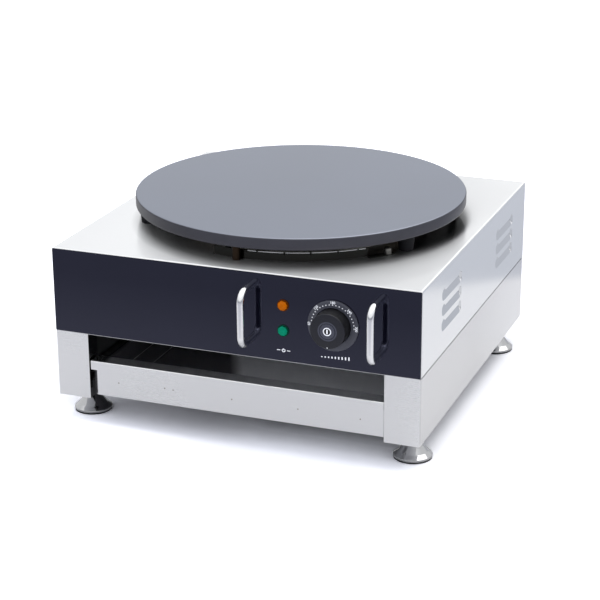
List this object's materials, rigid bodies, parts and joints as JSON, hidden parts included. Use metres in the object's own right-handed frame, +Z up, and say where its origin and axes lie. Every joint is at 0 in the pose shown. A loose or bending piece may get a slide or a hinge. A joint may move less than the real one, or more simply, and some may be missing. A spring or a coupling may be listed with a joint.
{
  "type": "electric crepe maker",
  "caption": "Countertop electric crepe maker: a round cast griddle plate on a square sheet steel body with a dial, lamps, bow handles, a pull-out drawer and adjustable feet.",
  "frame": {"origin": "centre of the object's box on the ground, under its feet", "axes": "+X to the right seen from the front, +Y from the front panel towards the rear, +Z up"},
  "size_m": [0.4522, 0.5012, 0.2492],
  "materials": {
    "stainless": "brushed stainless sheet",
    "fastener_steel": "bright zinc plate",
    "panel_black": "gloss black enamel",
    "griddle_iron": "fine machined face with an enamelled rim",
    "dark_steel": "heat-darkened",
    "chrome": "polished",
    "insulation_board": "matt mineral board",
    "copper": "bright copper",
    "black_plastic": "moulded, satin",
    "orange_lens": "translucent orange",
    "green_lens": "translucent green",
    "ceramic": "unglazed porcelain",
    "wire_insulation": "silicone sleeve",
    "brass": "turned",
    "red_plastic": "moulded",
    "rubber": "matt black"
  },
  "bodies": {
    "chassis": {"top_housing": "stainless", "front_panel": "panel_black", "rear_panel": "stainless", "floor_plate": "stainless", "rear_screws": "fastener_steel", "base_bolts": "fastener_steel", "griddle_plate": "griddle_iron", "spacer_posts": "dark_steel", "plate_screws": "fastener_steel", "heat_guard": "stainless", "guard_screws": "chrome", "outer_element": "dark_steel", "inner_element": "dark_steel", "element_clamp": "stainless", "clamp_bolts": "fastener_steel", "insulation_disc": "insulation_board", "reflector_pan": "stainless", "thermostat_bulb": "copper", "thermostat_capillary": "copper", "limiter_bulb": "copper", "limiter_capillary": "copper", "thermostat_body": "black_plastic", "thermostat_screws": "fastener_steel", "dial_bezel": "black_plastic", "heating_lamp_lens": "orange_lens", "power_lamp_lens": "green_lens", "lamp_bodies": "black_plastic", "left_handle": "chrome", "right_handle": "chrome", "handle_screws": "fastener_steel", "terminal_block": "ceramic", "wiring": "wire_insulation", "limiter_body": "black_plastic", "reset_nut": "fastener_steel", "cable_gland": "black_plastic", "gland_cap": "black_plastic", "gland_nut": "black_plastic", "bonding_stud": "brass", "bonding_nuts": "brass", "base_housing": "stainless", "foot_brackets": "stainless", "left_runner": "stainless", "right_runner": "stainless"},
    "knob": {"thermostat_shaft": "fastener_steel", "temperature_knob": "black_plastic", "knob_cap": "black_plastic"},
    "reset": {"reset_button": "red_plastic"},
    "drawer": {"drawer_tray": "stainless", "drawer_front": "stainless"},
    "foot_fl": {"foot_front_left": "chrome", "foot_pad_front_left": "rubber"},
    "foot_fr": {"foot_front_right": "chrome", "foot_pad_front_right": "rubber"},
    "foot_rl": {"foot_rear_left": "chrome", "foot_pad_rear_left": "rubber"},
    "foot_rr": {"foot_rear_right": "chrome", "foot_pad_rear_right": "rubber"}
  },
  "joints": [
    {"name": "knob_turn", "type": "hinge", "parent": "chassis", "child": "knob", "pos_m": [0.123, -0.21935, 0.1652], "axis": [0, 1, 0], "range_deg": [0, 270]},
    {"name": "drawer_slide", "type": "slide", "parent": "chassis", "child": "drawer", "axis": [0, -1, 0], "range_m": [0, 0.295]},
    {"name": "reset_press", "type": "slide", "parent": "chassis", "child": "reset", "axis": [0, -1, 0], "range_m": [0, 0.0025], "stiffness_N_per_m": 800},
    {"name": "foot_fl_height", "type": "slide", "parent": "chassis", "child": "foot_fl", "axis": [0, 0, -1], "range_m": [0, 0.012]},
    {"name": "foot_fr_height", "type": "slide", "parent": "chassis", "child": "foot_fr", "axis": [0, 0, -1], "range_m": [0, 0.012]},
    {"name": "foot_rl_height", "type": "slide", "parent": "chassis", "child": "foot_rl", "axis": [0, 0, -1], "range_m": [0, 0.012]},
    {"name": "foot_rr_height", "type": "slide", "parent": "chassis", "child": "foot_rr", "axis": [0, 0, -1], "range_m": [0, 0.012]}
  ]
}
